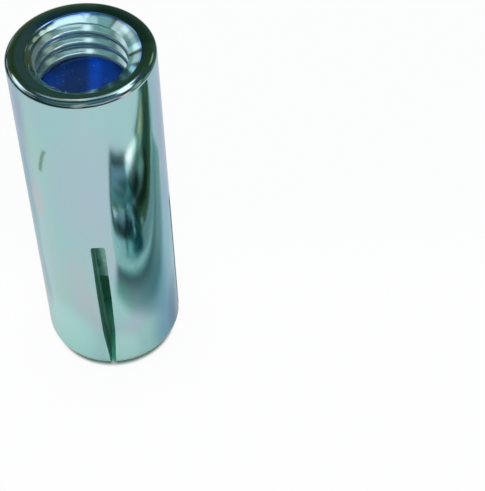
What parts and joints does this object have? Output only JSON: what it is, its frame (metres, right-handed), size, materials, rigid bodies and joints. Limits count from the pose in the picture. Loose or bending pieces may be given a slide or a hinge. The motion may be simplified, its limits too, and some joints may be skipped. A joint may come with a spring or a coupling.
{
  "type": "drop-in anchor",
  "caption": "Internally threaded expansion anchor: a slotted steel sleeve with a tapered spreading plug inside and a blue plastic insert closing the thread.",
  "frame": {"origin": "centre of the slotted end face, on which the anchor stands", "axes": "+Z along the sleeve's axis to the threaded mouth; -Y through the middle of one slot, with the other slots at +X, +Y and -X"},
  "size_m": [0.0222, 0.0222, 0.0635],
  "materials": {
    "zinc_plate": "bright zinc plate with a pale blue passivation",
    "plug_steel": "turned steel, satin",
    "blue_plastic": "moulded, glossy"
  },
  "bodies": {
    "root": {"sleeve": "zinc_plate", "expander_plug": "plug_steel", "thread_insert": "blue_plastic"}
  },
  "joints": []
}
